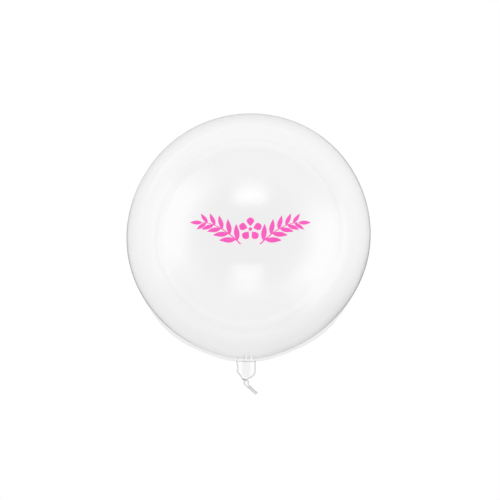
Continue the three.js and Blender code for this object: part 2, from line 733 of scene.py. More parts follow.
class Wardrobe:
    """Every finish on the balloon, each made once."""

    def __init__(self) -> None:
        """Makes the materials."""
        self.ball = FilmFinish("stretched clear film").make()
        self.weld = FilmFinish("welded film", 0.956, ripple_size=160.0, ripple_depth=0.0001).make()
        self.neck = FilmFinish("neck film", 0.996, gloss=0.14, ripple_size=90.0).make()
        self.bead = FilmFinish("film rolled at the edge", 0.74, gloss_roughness=0.08).make()
        self.strip = FilmFinish(
            "valve film", 0.93, gloss=0.15, gloss_roughness=0.3, ripple_depth=0.0001
        ).make()
        # The puffed film's matt white is a painted highlight: the bright band where the neck's shoulder
        # reflects the light.
        self.pocket = FilmFinish("milky puffed film", 0.975, clear=0.1, gloss=0.05).make()
        # The gathers' matt white is a painted highlight: the bright streaks that the folds catch.
        self.gather = FilmFinish("gathered milky film", 0.91, clear=0.0, gloss=0.02).make()
        self.loop = FilmFinish("looped film", 0.93, gloss=0.15, ripple_size=90.0).make()
        self.bundle = FilmFinish("gathered film", 0.50, gloss=0.6, gloss_roughness=0.12).make()
        self.end = FilmFinish("pleated film", 0.76, gloss=0.45, ripple_size=240.0).make()
        self.vinyl = VinylFinish("pink cut vinyl", (1.0, 0.112, 0.552), (0.97, 0.098, 0.525)).make()


def dressed(
    piece: bpy.types.Object,
    material: bpy.types.Material,
    slot: RecordSlot = RecordSlot.FILM,
    stands_for: str | None = None,
) -> bpy.types.Object:
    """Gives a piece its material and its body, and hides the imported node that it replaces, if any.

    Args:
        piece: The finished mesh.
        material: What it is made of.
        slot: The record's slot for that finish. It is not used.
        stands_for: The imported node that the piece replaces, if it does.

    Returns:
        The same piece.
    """
    piece.data.materials.clear()
    piece.data.materials.append(material)
    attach(piece, BODY)
    if stands_for:
        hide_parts(stands_for)
    log.info("%s: %d faces", piece.name, len(piece.data.polygons))
    return piece


# The ball and its weld


@dataclass
class FilmBall:
    """The two stretched panels of the ball, with puckers along their weld.

    Attributes:
        form: The balloon's form.
        segments: Faces round the ball.
        rings: Faces from pole to pole.
        cuts: Extra cuts in each band next to the weld.
        weld_bands: How many bands on each side of the weld get them.
        rest_rings: Rings of faces inside the flat rest spot's edge.
        rest_ring_width: The width of each, as a share of the spot's radius.
        pucker_reach: The height above and below the weld where the puckers are deepest.
        pucker_depth: Their depth away from the neck.
        neck_pucker_depth: Their depth beside the neck.
        pucker_angles: The angles from the neck between which one depth goes over to the other.
        puckers: How the depth varies round the rim.
    """

    form: BalloonForm
    segments: int = 360
    rings: int = 90
    cuts: int = 3
    weld_bands: int = 2
    rest_rings: int = 2
    rest_ring_width: float = 0.2
    pucker_reach: float = 0.007
    pucker_depth: float = 0.00018
    neck_pucker_depth: float = 0.00060
    pucker_angles: tuple[float, float] = (5, 60)
    puckers: Waves = Waves(61, 97, 2.1, wander=1.3)

    def pucker(self, around: float, height: float) -> float:
        """Gives how far a pucker draws the film in, at an angle from +Y and a height above the weld.

        Args:
            around: The angle in radians.
            height: The height, below the weld where negative.

        Returns:
            The distance, inwards.
        """
        near = 1 - ease(self.form.from_neck(around), *self.pucker_angles)
        depth = self.pucker_depth + (self.neck_pucker_depth - self.pucker_depth) * near
        rise = abs(height) / self.pucker_reach
        # The wave goes from -1.6 to 1.6, and the film is drawn in by about 0 to all of the depth.
        return depth * rise * math.exp(1 - rise) * (0.5 + 0.31 * self.puckers.at(around))

    def shaped(self, point: Vector) -> Vector:
        """Puts one vertex of the round ball on the film.

        Args:
            point: The vertex, from the ball's centre.

        Returns:
            Its place, with Z above the floor.
        """
        moved = self.form.formed(point)
        outward = Vector((point.x, point.y, 0))
        if outward.length > 1e-6:
            around = math.atan2(point.x, point.y)
            drawn_out = self.form.drawn_out(self.form.from_neck(around), point.z)
            moved += outward.normalized() * (drawn_out - self.pucker(around, point.z))
        if point.z < -self.form.centre_height + 1e-5:
            moved.z = -self.form.centre_height
        moved.z = max(moved.z + self.form.centre_height, 0.0)
        return moved

    def build(self, wardrobe: Wardrobe) -> bpy.types.Object:
        """Models the ball and dresses it.

        Args:
            wardrobe: The finishes.

        Returns:
            The ball.
        """
        Bench.clear()
        bpy.ops.mesh.primitive_uv_sphere_add(
            segments=self.segments, ring_count=self.rings, radius=self.form.radius, location=(0, 0, 0)
        )
        ball = Bench.named("film_ball")
        Bench.edit(ball)
        bpy.ops.mesh.select_all(action="SELECT")
        rest = (0, 0, -self.form.centre_height)
        bpy.ops.mesh.bisect(plane_co=rest, plane_no=(0, 0, 1), use_fill=True, clear_inner=True)
        # Only the flat spot's own face has more than eight corners.
        for _ in range(self.rest_rings):
            Bench.pick(ball, Part.FACES, lambda face: len(face.verts) > 8)
            bpy.ops.mesh.inset(thickness=self.form.rest_radius * self.rest_ring_width, depth=0)
        band = self.form.radius * math.sin(math.pi / self.rings)

        def beside_weld(edge: bmesh.types.BMEdge) -> bool:
            """Says whether an edge rises across a band next to the weld."""
            low, high = sorted(vertex.co.z for vertex in edge.verts)
            return high - low > band / 2 and max(abs(low), abs(high)) < (self.weld_bands + 0.5) * band

        Bench.pick(ball, Part.EDGES, beside_weld)
        bpy.ops.mesh.subdivide(number_cuts=self.cuts)
        Bench.move(ball, self.shaped)
        return dressed(Bench.done(ball, smooth=None), wardrobe.ball, stands_for=ENVELOPE)


@dataclass
class WeldFin:
    """The thin fin that the two welded panels leave round the rim.

    Attributes:
        form: The balloon's form.
        segments: Faces round the rim.
        steps: Faces across the fin.
        ring_growth: How much wider each ring of the flat start is, as a share of the radius.
        root: How far it starts inside the ball's skin.
        thickness: The two films together.
        ripple: How far the fin waves up and down at its edge.
        ripple_width: The width below which it waves less.
        waves: How the ripple varies round the rim.
        flare: How much wider it is beside the neck.
        flare_angles: The angles from the neck between which that ends.
        least_flared: The width below which it isn't flared.
    """

    form: BalloonForm
    segments: int = 360
    steps: int = 4
    ring_growth: float = 0.01
    root: float = 0.0004
    thickness: float = 0.00022
    ripple: float = 0.0003
    ripple_width: float = 0.004
    waves: Waves = Waves(53, 89, 1.0)
    flare: float = 0.0009
    flare_angles: tuple[float, float] = (9, 24)
    least_flared: float = 0.001

    def shaped(self, point: Vector) -> Vector:
        """Puts one vertex of the flat ring on the fin.

        Args:
            point: The vertex, from the ring's middle.

        Returns:
            Its place, with Z above the floor.
        """
        around = math.atan2(point.x, point.y)
        from_neck = self.form.from_neck(around)
        growth = Vector((point.x, point.y, 0)).length / self.form.radius - 1
        share = round(growth / self.ring_growth) / self.steps
        width = self.form.fin_width(from_neck)
        if width > self.least_flared:
            width += self.flare * (1 - ease(from_neck, *self.flare_angles))
        skin = self.form.radius * self.form.share(around) + self.form.drawn_out(from_neck)
        away = skin + share * (width + self.root) - self.root
        y = away * math.cos(around)
        x = away * math.sin(around) + self.form.lean * y
        lift = self.ripple * share * self.waves.at(around) * min(1.0, width / self.ripple_width)
        return Vector((x, y, self.form.centre_height + lift))

    def build(self, wardrobe: Wardrobe) -> bpy.types.Object:
        """Models the fin and dresses it.

        Args:
            wardrobe: The finishes.

        Returns:
            The fin.
        """
        Bench.clear()
        bpy.ops.mesh.primitive_circle_add(
            vertices=self.segments, radius=self.form.radius, location=(0, 0, 0)
        )
        fin = Bench.named("weld_fin")
        Bench.edit(fin, Part.EDGES)
        bpy.ops.mesh.select_all(action="SELECT")
        for step in range(self.steps):
            grow = (1 + self.ring_growth * (step + 1)) / (1 + self.ring_growth * step)
            bpy.ops.mesh.extrude_edges_move()
            bpy.ops.transform.resize(value=(grow, grow, 1))
        Bench.move(fin, self.shaped)
        Bench.wall(fin, self.thickness)
        Bench.tidy_skin(fin)
        return dressed(Bench.done(fin), wardrobe.weld)


# The neck, its valve and its free end


@dataclass
class NeckFilms:
    """The flat filling neck's two films, welded at the sides and gathered at the end.

    Attributes:
        form: The balloon's form.
        start: Where the films leave the ball, from the ball's end.
        end: Where they end, inside the pinch.
        opened: Where they are fully apart.
        gathering: Where they start to gather, and where they are gathered.
        puff: Half the neck's thickness at its middle.
        bundle: Half the thickness of the gathered films at the pinch.
        roundness: The power that the films' section is rounded by.
        pleat_depth: The depth of the pleats where the films gather.
        pleat_wave: The pleats' wave: radians in each half of the width, and where it starts.
        faces: Faces across each film and along it.
    """

    form: BalloonForm
    start: float = -0.0015
    end: float = 0.0362
    opened: float = 0.006
    gathering: tuple[float, float] = (0.024, 0.036)
    puff: float = 0.0021
    bundle: float = 0.0020
    roundness: float = 2.6
    pleat_depth: float = 0.0004
    pleat_wave: tuple[float, float] = (13.0, 0.6)
    faces: tuple[int, int] = (40, 60)

    def height(self, across: float, distance: float) -> float:
        """Gives the front film's height over the weld's plane.

        Args:
            across: From -1 at the left edge to 1 at the right edge.
            distance: The distance from the ball.

        Returns:
            The height without the pleats. The back film is as far below the plane.
        """
        gathered = ease(distance, *self.gathering)
        apart = self.puff * ease(distance, self.start, self.opened) * (1 - gathered) + self.bundle * gathered
        return apart * math.sqrt(max(0.0, 1 - abs(across) ** self.roundness))

    def front(self, point: Vector) -> Vector:
        """Puts one vertex of a unit grid on the front film, with the weld's plane at 0.

        Args:
            point: The vertex of the unit grid.

        Returns:
            Its place, with Z from the weld's plane.
        """
        across = 2 * point.x
        distance = self.start + (self.end - self.start) * (0.5 - point.y)
        left, right = self.form.neck_edges(distance)
        turn, first = self.pleat_wave
        gathered = ease(distance, *self.gathering)
        pleat = self.pleat_depth * math.cos(across * turn + first) * math.sin(math.pi * gathered)
        height = self.height(across, distance) + pleat * (1 - across**2)
        x = (left + right) / 2 + across * (right - left) / 2
        return Vector((x, self.form.ball_end - distance, height))

    def build(self, wardrobe: Wardrobe) -> bpy.types.Object:
        """Models the two films as one closed skin, the back one mirrored from the front one.

        Args:
            wardrobe: The finishes.

        Returns:
            The neck's films.
        """
        films = Bench.sheet("neck_films", self.faces, self.front)
        Bench.edit(films)
        bpy.ops.mesh.select_all(action="SELECT")
        bpy.ops.mesh.duplicate()
        bpy.ops.transform.resize(value=(1, 1, -1), center_override=(0, 0, 0))
        bpy.ops.mesh.select_all(action="SELECT")
        bpy.ops.transform.translate(value=(0, 0, self.form.centre_height))
        Bench.tidy_skin(films, near=2e-5)
        Bench.edit(films, Part.EDGES)
        bpy.ops.mesh.select_non_manifold()
        bpy.ops.mesh.edge_face_add()
        Bench.tidy_skin(films)
        return dressed(Bench.done(films), wardrobe.neck)


@dataclass
class NeckWelds:
    """The rolled welds at the neck's sides, and the straight weld bar across its top.

    Attributes:
        form: The balloon's form.
        films: The neck's films.
        start: Where the side welds start, from the ball's end.
        end: Where they end, inside the pinch.
        steps: Stations along each of them.
        radius: Their radius.
        unevenness: How much the radius varies along them.
        uneven_turn: How far that wave goes on from station to station, in radians.
        inset: How far a side weld's middle is inside the neck's edge.
        bar_distance: The weld bar's distance from the ball.
        bar_radius: The weld bar's radius.
        bar_margins: How far its ends are inside the neck's left and right edges.
        bar_steps: Stations along it.
    """

    form: BalloonForm
    films: NeckFilms
    start: float = 0.0040
    end: float = 0.0356
    steps: int = 30
    radius: float = 0.00110
    unevenness: float = 0.06
    uneven_turn: float = 2.1
    inset: float = 0.0004
    bar_distance: float = 0.0056
    bar_radius: float = 0.0008
    bar_margins: tuple[float, float] = (0.0028, 0.0008)
    bar_steps: int = 24

    def side_weld(self, side: Side) -> bpy.types.Object:
        """Models the weld along one side, from the ball to the pinch.

        Args:
            side: The side.

        Returns:
            The weld.
        """
        stations = []
        for step in range(self.steps + 1):
            distance = self.start + (self.end - self.start) * step / self.steps
            edges = self.form.neck_edges(distance)
            x = edges[0 if side is Side.LEFT else 1] - side.value * self.inset
            point = Vector((x, self.form.ball_end - distance, self.form.centre_height))
            uneven = 1 + self.unevenness * math.sin(self.uneven_turn * step)
            stations.append((point, self.radius * uneven))
        return Bench.tube(f"neck_weld_{side.label}", stations, sides=6)

    def bar(self) -> bpy.types.Object:
        """Models the straight weld across the top of the neck.

        Returns:
            The weld bar.
        """
        left, right = self.form.neck_edges(self.bar_distance)
        first, last = left + self.bar_margins[0], right - self.bar_margins[1]
        stations = []
        for step in range(self.bar_steps + 1):
            share = step / self.bar_steps
            height = self.form.centre_height + self.films.height(2 * share - 1, self.bar_distance)
            point = Vector((first + (last - first) * share, self.form.ball_end - self.bar_distance, height))
            stations.append((point, self.bar_radius))
        return Bench.tube("neck_weld_bar", stations, sides=6)

    def build(self, wardrobe: Wardrobe) -> list[bpy.types.Object]:
        """Models the three welds and dresses them."""
        welds = (self.side_weld(Side.LEFT), self.side_weld(Side.RIGHT), self.bar())
        return [dressed(weld, wardrobe.bead) for weld in welds]


@dataclass
class Valve:
    """The valve strip that is sealed between the neck's films, and the puffed film above the weld bar.

    Attributes:
        form: The balloon's form.
        films: The neck's films.
        start: Where the strip starts, from the ball's end.
        end: Where it ends.
        width: The strip's width.
        narrowing: How much of the width it loses at its end.
        narrow_from: Where it starts to narrow.
        thickness: The strip's thickness.
        lift: Its height over the weld's plane.
        rib_height: The height of the rib along each edge.
        rib_place: The rib's place, as a share of the width from the middle.
        rib_width: Its width, as a share of the strip's.
        faces: Faces across the strip and along it.
        pocket_distance: The puffed film's distance from the ball.
        pocket_sideways: The place of its middle, beside the neck's axis.
        pocket_reach: Half its length.
        pocket_radius: Its radius.
        pocket_bulge: How far out on the front film the height of its ends is read, from 0 to 1.
        pocket_steps: Stations along it.
    """

    form: BalloonForm
    films: NeckFilms
    start: float = -0.0030
    end: float = 0.0320
    width: float = 0.0136
    narrowing: float = 0.5
    narrow_from: float = 0.026
    thickness: float = 0.00018
    lift: float = 0.0002
    rib_height: float = 0.00035
    rib_place: float = 0.40
    rib_width: float = 0.05
    faces: tuple[int, int] = (28, 24)
    pocket_distance: float = 0.0031
    pocket_sideways: float = -0.0002
    pocket_reach: float = 0.0118
    pocket_radius: float = 0.0010
    pocket_bulge: float = 0.8
    pocket_steps: int = 28

    def strip_place(self, point: Vector) -> Vector:
        """Puts one vertex of a unit grid on the valve strip.

        Args:
            point: The vertex of the unit grid.

        Returns:
            Its place, with Z above the floor.
        """
        distance = self.start + (self.end - self.start) * (0.5 - point.y)
        rib = math.exp(-(((abs(point.x) - self.rib_place) / self.rib_width) ** 2))
        width = self.width * (1 - self.narrowing * ease(distance, self.narrow_from, self.end))
        return self.form.by_neck(point.x * width, distance, self.lift + self.rib_height * rib)

    def strip(self) -> bpy.types.Object:
        """Models the valve strip.

        Returns:
            The strip.
        """
        strip = Bench.sheet("valve_strip", self.faces, self.strip_place)
        Bench.wall(strip, self.thickness)
        Bench.tidy_skin(strip)
        return Bench.done(strip)

    def pocket(self) -> bpy.types.Object:
        """Models the puffed film just above the weld bar.

        Returns:
            The puffed film.
        """
        stations = []
        for step in range(self.pocket_steps + 1):
            across = 2 * step / self.pocket_steps - 1
            sideways = self.pocket_sideways + across * self.pocket_reach
            height = self.films.height(self.pocket_bulge * across, self.pocket_distance)
            point = self.form.by_neck(sideways, self.pocket_distance, height)
            stations.append((point, self.pocket_radius * rounded_off(across, 6)))
        return Bench.tube("valve_pocket", stations)

    def build(self, wardrobe: Wardrobe) -> list[bpy.types.Object]:
        """Models the strip and the puffed film and dresses them."""
        # The puffed film's matt white finish is a painted highlight of the neck's shoulder.
        return [dressed(self.strip(), wardrobe.strip), dressed(self.pocket(), wardrobe.pocket)]


@dataclass
class NeckGathers:
    """The soft gathers of film that run from the neck a little way up the ball's front, matt white as a
    painted highlight of the folds.

    Attributes:
        form: The balloon's form.
        places: The side that each is named for, and its place beside the neck's axis.
        radius: The radius of each where it starts.
        thinning: The share of the radius that is gone at the end.
        proud: How far its middle stands out from the film.
        rise: How far it runs up the ball, as an angle at its centre.
        steps: Stations along it.
    """

    form: BalloonForm
    places: tuple[tuple[Side, float], ...] = ((Side.LEFT, 0.0002), (Side.RIGHT, 0.0084))
    radius: float = 0.0021
    thinning: float = 0.4
    proud: float = 0.0011
    rise: float = math.radians(13.0)
    steps: int = 26

    def gather(self, side: Side, sideways: float) -> bpy.types.Object:
        """Models one gather.

        Args:
            side: The side that it is named for.
            sideways: Its place beside the neck's axis.

        Returns:
            The gather.
        """
        stations = []
        for step in range(self.steps + 1):
            share = step / self.steps
            height = -self.form.ball_end * math.sin(self.rise * share)
            reach = -self.form.ball_end * math.cos(self.rise * share)
            out = math.sqrt(reach**2 - sideways**2) + self.form.drawn_out(0.0, height) + self.proud
            point = Vector((self.form.neck_axis + sideways, -out, self.form.centre_height + height))
            radius = self.radius * (1 - self.thinning * share**2) * rounded_off(share, 8)
            stations.append((point, radius))
        return Bench.tube(f"neck_gather_{side.label}", stations)

    def build(self, wardrobe: Wardrobe) -> list[bpy.types.Object]:
        """Models the gathers and dresses them."""
        return [dressed(self.gather(side, sideways), wardrobe.gather) for side, sideways in self.places]


@dataclass
class GatheredEnd:
    """The pinch, and the looped and twisted end of film past it.

    Attributes:
        form: The balloon's form.
        pinch_sideways: The pinch's place beside the neck's axis.
        pinch_distance: Its distance from the ball.
        pinch_radius: Its radius.
        pinch_flatness: Its height over its width.
        pinch_half_length: Half its length along the neck.
        pinch_turn: How far it is turned, seen from above, in radians.
        pinch_pleats: Its sets of pleats: how many, how deep, and how far they twist along it.
        pinch_faces: Faces round it and along it.
        left_route: The free end's left edge: sideways, distance from the ball, and height.
        right_route: Its right edge.
        loop_fade: Where the clear loop starts to close, and where it has, as shares of the length.
        loop_sag: How deep the loop's film sags.
        loop_calm: The share of the pleats' depth that is gone in the loop.
        left_strand: The radius of the rolled film along the left edge, and the share gone at its end.
        right_strand: And of that along the right edge.
        pleats: How many pleats run along the end.
        pleat_depth: How deep they are.
        film: The thickness of the film between the edges.
        across: Faces across that film.
        steps: Stations along the whole end.
    """

    form: BalloonForm
    pinch_sideways: float = -0.0033
    pinch_distance: float = 0.0352
    pinch_radius: float = 0.0032
    pinch_flatness: float = 0.7
    pinch_half_length: float = 0.0013
    pinch_turn: float = -0.3
    pinch_pleats: Rows = ((11, 0.10, 2.0), (17, 0.05, 0.0))
    pinch_faces: tuple[int, int] = (88, 16)
    left_route: Rows = (
        (-0.0022, 0.0359, 0.0),
        (-0.0035, 0.0393, 0.0006),
        (-0.0033, 0.0420, 0.0010),
        (-0.0010, 0.0453, 0.0008),
        (0.0034, 0.0489, 0.0),
        (0.0079, 0.0530, -0.0008),
        (0.0121, 0.0572, -0.0016),
        (0.0157, 0.0602, -0.0026),
    )
    right_route: Rows = (
        (-0.0006, 0.0356, 0.0),
        (0.0031, 0.0380, -0.0005),
        (0.0037, 0.0410, -0.0009),
        (0.0037, 0.0441, -0.0009),
        (0.0079, 0.0476, -0.0006),
        (0.0119, 0.0514, -0.0010),
        (0.0160, 0.0548, -0.0018),
        (0.0191, 0.0576, -0.0030),
    )
    loop_fade: tuple[float, float] = (0.30, 0.50)
    loop_sag: float = 0.0010
    loop_calm: float = 0.6
    left_strand: tuple[float, float] = (0.00125, 0.75)
    right_strand: tuple[float, float] = (0.00095, 0.45)
    pleats: int = 3
    pleat_depth: float = 0.0005
    film: float = 0.00025
    across: int = 24
    steps: int = 56

    def along(self, route: Rows, share: float) -> Vector:
        """Gives the point at a share of a route's length, on a smooth curve through the route's points.

        Args:
            route: The route's points.
            share: The share of its length, from 0 to 1.

        Returns:
            The point, with Z above the floor.
        """
        spans = len(route) - 1
        span = min(int(share * spans), spans - 1)
        part = share * spans - span
        near = [route[max(0, min(spans, span + offset))] for offset in (-1, 0, 1, 2)]
        weights = (
            (-part + 2 * part**2 - part**3) / 2,
            (2 - 5 * part**2 + 3 * part**3) / 2,
            (part + 4 * part**2 - 3 * part**3) / 2,
            (part**3 - part**2) / 2,
        )
        return sum((self.form.by_neck(*row) * weight for row, weight in zip(near, weights)), Vector())

    def film_place(self, point: Vector, start: float, end: float) -> Vector:
        """Puts one vertex of a unit grid on the film between the two edges.

        Args:
            point: The vertex.
            start: Where this stretch of film starts, as a share of the free end's length.
            end: Where it ends.

        Returns:
            The vertex's place.
        """
        share = start + (end - start) * (0.5 - point.y)
        across = point.x + 0.5
        bow = math.sin(math.pi * across)
        fold = math.sin(2 * math.pi * self.pleats * across) * bow
        loop = 1 - ease(share, *self.loop_fade)
        place = self.along(self.left_route, share).lerp(self.along(self.right_route, share), across)
        place.z += self.pleat_depth * fold * (1 - self.loop_calm * loop) - self.loop_sag * loop * bow
        return place

    def stretch(self, name: str, start: float, end: float) -> bpy.types.Object:
        """Models the film of a stretch of the free end, between two shares of its length.

        Args:
            name: The piece's name.
            start: Where the stretch starts, as a share of the free end's length.
            end: Where it ends.

        Returns:
            The film.
        """
        faces = (self.across, round(self.steps * (end - start)))
        film = Bench.sheet(name, faces, lambda point: self.film_place(point, start, end))
        Bench.wall(film, self.film)
        Bench.tidy_skin(film)
        return Bench.done(film)

    def strand(self, side: Side, route: Rows, radius: float, thinning: float) -> bpy.types.Object:
        """Models the rolled film along one edge of the free end.

        Args:
            side: The edge's side.
            route: The edge's route.
            radius: The strand's radius at the pinch.
            thinning: The share of it that is gone at the end.

        Returns:
            The strand.
        """
        shares = [step / self.steps for step in range(self.steps + 1)]
        stations = [(self.along(route, share), radius * (1 - thinning * share)) for share in shares]
        return Bench.tube(f"twisted_end_edge_{side.label}", stations, sides=6)

    def pinch_place(self, point: Vector) -> Vector:
        """Puts one vertex of a unit ball on the pleated pinch.

        Args:
            point: The vertex, from the unit ball's centre.

        Returns:
            Its place, with Z above the floor.
        """
        around = math.atan2(point.z, point.x)
        pleats = sum(
            deep * math.cos(count * around + twist * point.y) for count, deep, twist in self.pinch_pleats
        )
        radius = self.pinch_radius * (1 + pleats)
        local = Vector(
            (point.x * radius, point.y * self.pinch_half_length, point.z * radius * self.pinch_flatness)
        )
        local.rotate(Matrix.Rotation(self.pinch_turn, 3, "Z"))
        return local + self.form.by_neck(self.pinch_sideways, self.pinch_distance)

    def pinch(self) -> bpy.types.Object:
        """Models the gathered films, pleated all round.

        Returns:
            The pinch.
        """
        Bench.clear()
        around, along = self.pinch_faces
        bpy.ops.mesh.primitive_uv_sphere_add(
            segments=around, ring_count=along, radius=1.0, location=(0, 0, 0)
        )
        pinch = Bench.named("gathered_pinch")
        Bench.edit(pinch)
        bpy.ops.mesh.select_all(action="SELECT")
        bpy.ops.transform.rotate(value=math.pi / 2, orient_axis="X", center_override=(0, 0, 0))
        Bench.move(pinch, self.pinch_place)
        Bench.tidy_skin(pinch)
        return Bench.done(pinch)

    def build(self, wardrobe: Wardrobe) -> list[bpy.types.Object]:
        """Models the pinch, the film past it and its two rolled edges, and dresses them.

        Args:
            wardrobe: The finishes.

        Returns:
            The five pieces.
        """
        loop_end = self.loop_fade[1]
        return [
            dressed(self.pinch(), wardrobe.bundle),
            dressed(self.stretch("end_loop_film", 0.0, loop_end), wardrobe.loop),
            dressed(self.stretch("end_pleated_film", loop_end, 1.0), wardrobe.end),
            dressed(self.strand(Side.LEFT, self.left_route, *self.left_strand), wardrobe.bead),
            dressed(self.strand(Side.RIGHT, self.right_route, *self.right_strand), wardrobe.bead),
        ]


# The ornament


@dataclass
class VinylSprigs:
    """A pink ornament on the front: two mirrored leafy sprigs and a small blossom between them.

    Attributes:
        form: The balloon's form.
        centre: The ornament's middle.
        proud: How far the vinyl's underside stands off the film.
        thickness: The vinyl's thickness.
        lift: How much higher each patch lies than the one cut before it.
        stem_root: Where a sprig's stem starts, outwards and along Y from the middle.
        stem_reach: How far it goes on outwards, and along Y.
        stem_bow: The power that bends it.
        stem_width: Its width. The first number in stem_taper scales it, and the second is lost on the way.
        stem_taper: How the stem's width changes along it.
        stem_faces: Faces along it and across it.
        leaf_pairs: Pairs of leaves on each sprig.
        leaf_span: The first and last pair's place along the stem.
        leaf_stagger: How much further on the lower leaf of a pair is.
        leaf_length: The length of a leaf at the stem's start.
        leaf_shrink: The share of it that leaves lose by the stem's end.
        leaf_width: The width of a leaf of that length.
        leaf_open: The angle between a leaf and the stem.
        leaf_curl: How far a leaf bends to the stem's tip, as a share of its length.
        leaf_outline: The powers that set how a leaf's outline swells.
        leaf_faces: Faces along it and across it.
        tip_length: The length of the leaf at the stem's tip, as a share of a leaf's.
        petals: How many petals the blossom has.
        petal_start: The distance from the blossom's middle to a petal.
        petal_length: A petal's length.
        petal_half_width: Half its width.
        petal_outline: The powers that set how its outline swells.
        petal_faces: Faces along it and across it.
        middle_radius: The radius of the blossom's round middle.
        middle_faces: Faces round it and across it.
        parts: The patches cut so far.
    """

    form: BalloonForm
    centre: tuple[float, float] = (0.0029, 0.0080)
    proud: float = 0.00014
    thickness: float = 0.00010
    lift: float = 0.000006
    stem_root: tuple[float, float] = (0.0150, -0.0230)
    stem_reach: tuple[float, float] = (0.0590, 0.0330)
    stem_bow: float = 0.95
    stem_width: float = 0.0019
    stem_taper: tuple[float, float] = (1.1, 0.6)
    stem_faces: tuple[int, int] = (60, 3)
    leaf_pairs: int = 5
    leaf_span: tuple[float, float] = (0.09, 0.86)
    leaf_stagger: float = 0.035
    leaf_length: float = 0.0265
    leaf_shrink: float = 0.38
    leaf_width: float = 0.0088
    leaf_open: float = math.radians(50)
    leaf_curl: float = 0.09
    leaf_outline: tuple[float, float] = (0.85, 0.9)
    leaf_faces: tuple[int, int] = (18, 6)
    tip_length: float = 0.72
    petals: int = 5
    petal_start: float = 0.0046
    petal_length: float = 0.0134
    petal_half_width: float = 0.0058
    petal_outline: tuple[float, float] = (1.4, 0.7)
    petal_faces: tuple[int, int] = (14, 6)
    middle_radius: float = 0.0028
    middle_faces: tuple[int, int] = (24, 4)
    parts: list[bpy.types.Object] = field(default_factory=list)

    def patch(self, name: str, faces: tuple[int, int], rule: Callable[[float, float], Vector]) -> None:
        """Cuts one patch of vinyl and lays it on the film.

        Args:
            name: The patch's name.
            faces: Faces along it and across it.
            rule: Gives the flat place for a share along it, and a share across it from -1 to 1.
        """
        proud = self.proud + self.thickness / 2 + self.lift * len(self.parts)

        def laid(point: Vector) -> Vector:
            """Puts one vertex of the unit grid on the film."""
            flat = rule(point.x + 0.5, 2 * point.y)
            return self.form.on_front(self.centre[0] + flat.x, self.centre[1] + flat.y, proud)

        patch = Bench.sheet(name, faces, laid)
        Bench.tidy_skin(patch)
        self.parts.append(patch)

    @staticmethod
    def swell(share: float, outline: tuple[float, float]) -> float:
        """Gives the half width of a pointed outline at a share of its length, up to 1."""
        early, full = outline
        return math.sin(math.pi * max(0.0, min(1.0, share)) ** early) ** full

    @staticmethod
    def heading(angle: float) -> tuple[Vector, Vector]:
        """Gives the flat directions ahead and to the left, for a heading in radians."""
        ahead = Vector((math.cos(angle), math.sin(angle), 0))
        return ahead, Vector((-ahead.y, ahead.x, 0))

    def stem_point(self, share: float, side: Side) -> Vector:
        """Gives a point of one sprig's stem, flat, from the ornament's middle.

        Args:
            share: The share of the stem's length.
            side: The sprig's side.

        Returns:
            The point.
        """
        x = self.stem_root[0] + self.stem_reach[0] * share
        rise = math.sin(0.5 * math.pi * max(0.0, share)) ** self.stem_bow
        return Vector((side.value * x, self.stem_root[1] + self.stem_reach[1] * rise, 0))

    def stem_run(self, share: float, side: Side, step: float) -> Vector:
        """Gives the way that a stem runs at a share of its length, over a short step each way."""
        ahead = self.stem_point(min(1.0, share + step), side)
        return ahead - self.stem_point(max(0.0, share - step), side)

    def leaf(self, name: str, root: Vector, angle: float, length: float, curl: float) -> None:
        """Cuts one pointed leaf that bends a little to one side.

        Args:
            name: The leaf's name.
            root: Where it starts, flat, from the ornament's middle.
            angle: Its heading in radians.
            length: Its length.
            curl: How far it bends to the left, as a share of its length.
        """
        ahead, left = self.heading(angle)
        width = self.leaf_width * length / self.leaf_length

        def rule(share: float, across: float) -> Vector:
            """Gives a flat place on the leaf.

            Args:
                share: The share of the leaf's length.
                across: From -1 at its right edge to 1 at its left.

            Returns:
                The place, from the ornament's middle.
            """
            bend = curl * length * math.sin(math.pi * share * 0.5) ** 2
            aside = bend + across * self.swell(share, self.leaf_outline) * width / 2
            return root + ahead * length * share + left * aside

        self.patch(name, self.leaf_faces, rule)

    def sprig(self, side: Side) -> None:
        """Cuts one sprig: its stem and its leaves.

        Args:
            side: The sprig's side.
        """

        def stem(share: float, across: float) -> Vector:
            """Gives a flat place on the stem.

            Args:
                share: The share of the stem's length.
                across: From -1 at its right edge to 1 at its left.

            Returns:
                The place, from the ornament's middle.
            """
            run = self.stem_run(share, side, 0.01)
            normal = Vector((-run.y, run.x, 0)).normalized()
            width = self.stem_width * (self.stem_taper[0] - self.stem_taper[1] * share)
            return self.stem_point(share, side) + normal * across * width / 2

        self.patch(f"stem_{side.label}", self.stem_faces, stem)
        first, last = self.leaf_span
        for pair in range(self.leaf_pairs):
            share = first + (last - first) * pair / (self.leaf_pairs - 1)
            run = self.stem_run(share, side, 0.02)
            length = self.leaf_length * (1 - self.leaf_shrink * share)
            for up, label, further in ((1, "up", 0.0), (-1, "down", self.leaf_stagger)):
                turned = up * side.value
                root = self.stem_point(share + further, side)
                angle = math.atan2(run.y, run.x) + self.leaf_open * turned
                self.leaf(f"leaf_{side.label}_{pair}_{label}", root, angle, length, -self.leaf_curl * turned)
        run = self.stem_run(1.0, side, 0.03)
        angle = math.atan2(run.y, run.x)
        tip = self.stem_point(1.0, side)
        self.leaf(f"leaf_{side.label}_tip", tip, angle, self.leaf_length * self.tip_length, 0.0)

    def petal(self, number: int) -> None:
        """Cuts one of the blossom's petals.

        Args:
            number: Its number, from the top one round to the left.
        """
        ahead, left = self.heading(math.pi / 2 + 2 * math.pi * number / self.petals)

        def rule(share: float, across: float) -> Vector:
            """Gives a flat place on the petal."""
            aside = across * self.swell(share, self.petal_outline) * self.petal_half_width
            return ahead * (self.petal_start + self.petal_length * share) + left * aside

        self.patch(f"petal_{number}", self.petal_faces, rule)

    def blossom(self) -> None:
        """Cuts the blossom's petals and its middle."""
        for number in range(self.petals):
            self.petal(number)

